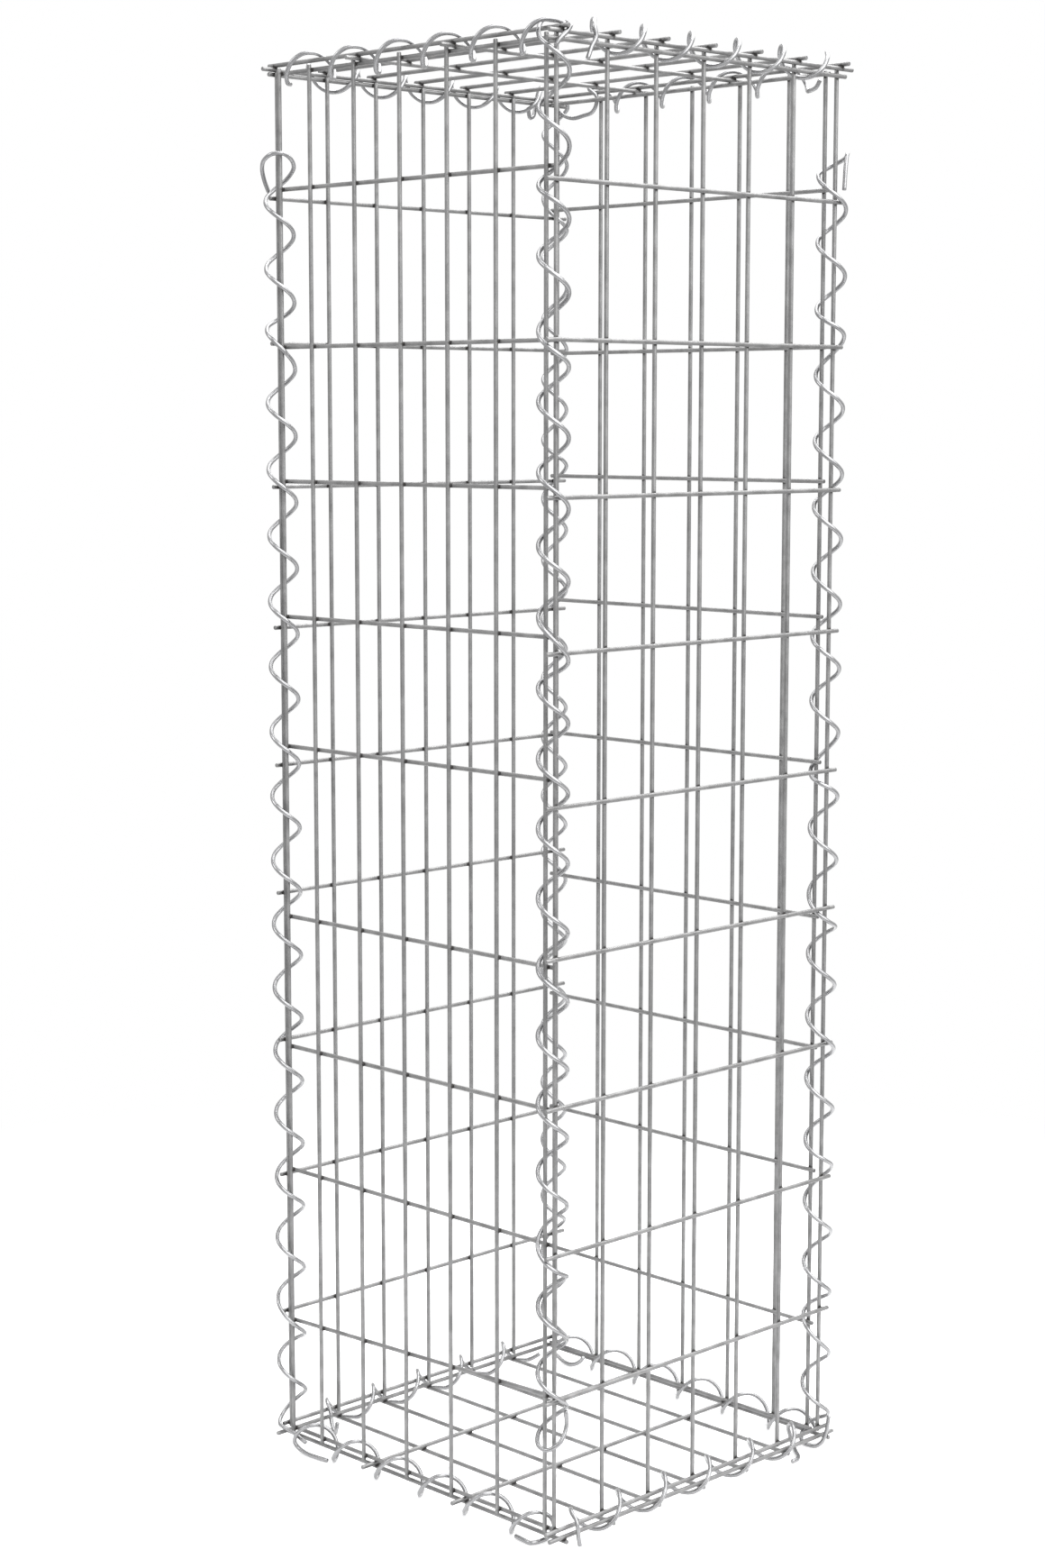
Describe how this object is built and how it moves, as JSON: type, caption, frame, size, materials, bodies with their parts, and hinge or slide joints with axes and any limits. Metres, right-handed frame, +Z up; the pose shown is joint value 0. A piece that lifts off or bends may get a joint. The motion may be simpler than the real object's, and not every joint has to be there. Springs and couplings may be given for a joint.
{
  "type": "gabion basket",
  "caption": "Tall square gabion basket of welded steel wire mesh with lid and base, laced along every edge with helical binders.",
  "frame": {"origin": "on the ground, under the middle of the basket", "axes": "+Z up the basket's height, +X towards the right-hand panel, -Y towards the front panel"},
  "size_m": [0.3085, 0.3033, 1.0057],
  "materials": {
    "galvanised_wire": "dull galvanised zinc coating, drawn wire with scorched weld spots",
    "galvanised_spiral": "brighter galvanised zinc coating, smooth bent wire"
  },
  "bodies": {
    "root": {"front_panel_uprights": "galvanised_wire", "front_panel_crossbars": "galvanised_wire", "right_panel_uprights": "galvanised_wire", "right_panel_crossbars": "galvanised_wire", "back_panel_uprights": "galvanised_wire", "back_panel_crossbars": "galvanised_wire", "left_panel_uprights": "galvanised_wire", "left_panel_crossbars": "galvanised_wire", "lid_long_wires": "galvanised_wire", "lid_cross_wires": "galvanised_wire", "base_long_wires": "galvanised_wire", "base_cross_wires": "galvanised_wire", "near_corner_spiral": "galvanised_spiral", "left_corner_spiral": "galvanised_spiral", "right_corner_spiral": "galvanised_spiral", "far_corner_spiral": "galvanised_spiral", "front_top_spiral": "galvanised_spiral", "right_top_spiral": "galvanised_spiral", "back_top_spiral": "galvanised_spiral", "left_top_spiral": "galvanised_spiral", "front_bottom_spiral": "galvanised_spiral", "right_bottom_spiral": "galvanised_spiral", "back_bottom_spiral": "galvanised_spiral", "left_bottom_spiral": "galvanised_spiral"}
  },
  "joints": []
}
